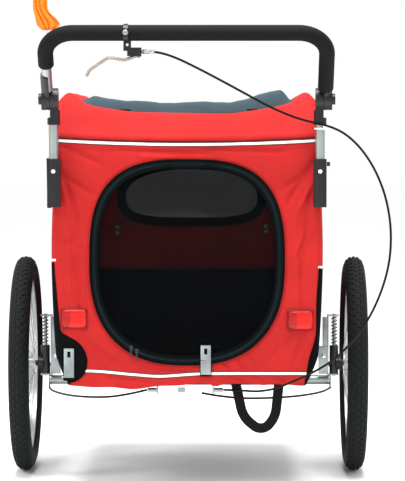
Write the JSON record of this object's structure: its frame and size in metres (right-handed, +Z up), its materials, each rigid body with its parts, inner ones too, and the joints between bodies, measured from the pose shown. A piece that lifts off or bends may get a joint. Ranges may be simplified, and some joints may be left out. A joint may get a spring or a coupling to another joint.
{
  "type": "bicycle trailer",
  "caption": "Two-wheeled bicycle trailer: soft cabin on a tube frame, tilting push handle with a brake lever, sprung wheels and a tow bar.",
  "frame": {"origin": "on the floor under the middle of the whole trailer's length and width, without the handle's free cable", "axes": "+X the trailer's right seen from behind, +Y forward along the tow bar, +Z up"},
  "size_m": [0.8617, 1.7794, 1.4203],
  "materials": {
    "tyre": "matt",
    "rim_aluminium": "satin",
    "spoke_steel": "polished",
    "black_steel": "satin",
    "zinc_steel": "zinc plated",
    "silver_tube": "satin",
    "black_plastic": "fine grain",
    "white_plastic": "satin",
    "foam": "foam",
    "lever_alloy": "satin",
    "cable_black": "satin",
    "red_fabric": "coated weave",
    "black_fabric": "coated weave",
    "slate_fabric": "coated weave",
    "mesh": "open mesh",
    "zip_tape": "woven tape",
    "clear_window": "clear film",
    "red_lens": "moulded prisms",
    "amber_lens": "moulded prisms",
    "webbing": "webbing",
    "orange_fabric": "nylon",
    "pole": "glass fibre"
  },
  "bodies": {
    "chassis": {"floor_frame": "silver_tube", "axle_cross_tube": "silver_tube", "upper_frame": "silver_tube", "frame_joints": "black_plastic", "floor_panel": "black_fabric", "rear_cover": "red_fabric", "front_cover": "red_fabric", "side_covers": "red_fabric", "side_lower_panels": "black_fabric", "windows": "clear_window", "roof_cover": "red_fabric", "rear_door_hem": "mesh", "rear_door_zip": "zip_tape", "floor_pad": "black_fabric", "rear_brackets": "zinc_steel", "bracket_bolts": "zinc_steel", "rear_reflectors": "red_lens", "pull_strap": "webbing", "suspension_brackets": "zinc_steel", "left_spring": "spoke_steel", "right_spring": "spoke_steel", "cable_anchors": "zinc_steel", "underfloor_cables": "cable_black", "handle_sockets": "black_plastic", "tow_bar_receiver": "zinc_steel", "flag_sleeve": "black_plastic"},
    "left_suspension": {"left_axle_carrier": "black_steel"},
    "right_suspension": {"right_axle_carrier": "black_steel"},
    "left_wheel": {"left_tyre": "tyre", "left_rim": "rim_aluminium", "left_spokes": "spoke_steel", "left_hub": "rim_aluminium", "left_wheel_reflector": "amber_lens"},
    "right_wheel": {"right_tyre": "tyre", "right_rim": "rim_aluminium", "right_spokes": "spoke_steel", "right_hub": "rim_aluminium"},
    "left_brake": {"left_brake_arm": "black_steel"},
    "right_brake": {"right_brake_arm": "black_steel"},
    "yoke": {"brake_yoke": "zinc_steel"},
    "stubs": {"stub_tubes": "silver_tube", "brake_cable_lower": "cable_black"},
    "handle": {"handle_tube": "silver_tube", "handle_grip": "foam", "upper_ratchets": "black_plastic", "brake_clamp": "black_plastic", "brake_cable_upper": "cable_black"},
    "lever": {"brake_lever": "lever_alloy"},
    "left_button": {"left_ratchet_button": "black_plastic"},
    "right_button": {"right_ratchet_button": "black_plastic"},
    "left_pin": {"left_socket_pin": "white_plastic"},
    "right_pin": {"right_socket_pin": "white_plastic"},
    "clamp_lever": {"socket_lever": "black_plastic"},
    "door": {"rear_door": "mesh"},
    "sunroof": {"sunroof_cover": "slate_fabric"},
    "tow": {"tow_bar": "zinc_steel"},
    "hitch": {"hitch_head": "black_plastic"},
    "pin": {"hitch_pin": "spoke_steel"},
    "pole": {"flag_pole": "pole", "flag": "orange_fabric"}
  },
  "joints": [
    {"name": "left_suspension_travel", "type": "slide", "parent": "chassis", "child": "left_suspension", "axis": [0, 0, 1], "range_m": [0, 0.025], "stiffness_N_per_m": 12000, "springref_m": -0.012, "deforming": ["left_spring", "underfloor_cables"]},
    {"name": "left_wheel_spin", "type": "hinge", "parent": "left_suspension", "child": "left_wheel", "pos_m": [-0.3835, -0.3186, 0.25], "axis": [1, 0, 0], "continuous": true},
    {"name": "left_brake_pull", "type": "hinge", "parent": "left_suspension", "child": "left_brake", "pos_m": [-0.33, -0.2966, 0.244], "axis": [1, 0, 0], "range_deg": [-7.5, 0]},
    {"name": "left_button_press", "type": "slide", "parent": "handle", "child": "left_button", "axis": [1, 0, 0], "range_m": [0, 0.004], "stiffness_N_per_m": 1500, "springref_m": -0.003},
    {"name": "left_pin_pull", "type": "slide", "parent": "chassis", "child": "left_pin", "axis": [0, -1, 0], "range_m": [0, 0.006], "stiffness_N_per_m": 1500, "springref_m": -0.003},
    {"name": "right_suspension_travel", "type": "slide", "parent": "chassis", "child": "right_suspension", "axis": [0, 0, 1], "range_m": [0, 0.025], "stiffness_N_per_m": 12000, "springref_m": -0.012, "deforming": ["right_spring", "underfloor_cables"]},
    {"name": "right_wheel_spin", "type": "hinge", "parent": "right_suspension", "child": "right_wheel", "pos_m": [0.3835, -0.3186, 0.25], "axis": [1, 0, 0], "continuous": true},
    {"name": "right_brake_pull", "type": "hinge", "parent": "right_suspension", "child": "right_brake", "pos_m": [0.33, -0.2966, 0.244], "axis": [1, 0, 0], "range_deg": [-7.5, 0]},
    {"name": "right_button_press", "type": "slide", "parent": "handle", "child": "right_button", "axis": [-1, 0, 0], "range_m": [0, 0.004], "stiffness_N_per_m": 1500, "springref_m": -0.003},
    {"name": "right_pin_pull", "type": "slide", "parent": "chassis", "child": "right_pin", "axis": [0, -1, 0], "range_m": [0, 0.006], "stiffness_N_per_m": 1500, "springref_m": -0.003},
    {"name": "handle_lift_out", "type": "slide", "parent": "chassis", "child": "stubs", "axis": [0, 0, 1], "range_m": [0, 0.11], "deforming": ["brake_cable_lower"]},
    {"name": "handle_tilt", "type": "hinge", "parent": "stubs", "child": "handle", "pos_m": [0, -0.7196, 0.863], "axis": [1, 0, 0], "range_deg": [-50, 70], "deforming": ["brake_cable_upper"]},
    {"name": "brake_lever_squeeze", "type": "hinge", "parent": "handle", "child": "lever", "pos_m": [-0.1, -0.85819, 0.955], "axis": [0, 1, 0], "range_deg": [0, 18], "stiffness_Nm_per_rad": 0.8, "springref_deg": -11.46, "deforming": ["underfloor_cables"]},
    {"name": "brake_yoke_pull", "type": "slide", "parent": "chassis", "child": "yoke", "axis": [1, 0, 0], "range_m": [0, 0.008]},
    {"name": "socket_lever_swing", "type": "hinge", "parent": "chassis", "child": "clamp_lever", "pos_m": [0.3085, -0.7196, 0.722], "axis": [0, 0, 1], "range_deg": [-90, 0]},
    {"name": "rear_door_fold", "type": "hinge", "parent": "chassis", "child": "door", "pos_m": [0, -0.7026, 0.338], "axis": [1, 0, 0], "range_deg": [0, 110]},
    {"name": "sunroof_lift", "type": "hinge", "parent": "chassis", "child": "sunroof", "pos_m": [0, -0.1666, 0.8795], "axis": [-1, 0, 0], "range_deg": [0, 95]},
    {"name": "tow_bar_pull_out", "type": "slide", "parent": "chassis", "child": "tow", "axis": [0, 1, 0], "range_m": [0, 0.22]},
    {"name": "hitch_turn", "type": "hinge", "parent": "tow", "child": "hitch", "pos_m": [-0.077, 0.8014, 0.291], "axis": [0.2469, 0.9558, 0.1593], "range_deg": [-90, 90]},
    {"name": "hitch_pin_lift", "type": "slide", "parent": "hitch", "child": "pin", "axis": [0, 0, 1], "range_m": [0, 0.05]},
    {"name": "flag_pole_pull_out", "type": "slide", "parent": "chassis", "child": "pole", "axis": [-0.0147, 0, 0.9999], "range_m": [0, 0.13]}
  ],
  "couplings": [
    {"joint": "brake_yoke_pull", "follows": "brake_lever_squeeze", "m_per_rad": 0.025146},
    {"joint": "left_brake_pull", "follows": "brake_lever_squeeze", "ratio": -0.41111},
    {"joint": "right_brake_pull", "follows": "brake_lever_squeeze", "ratio": -0.41111}
  ]
}
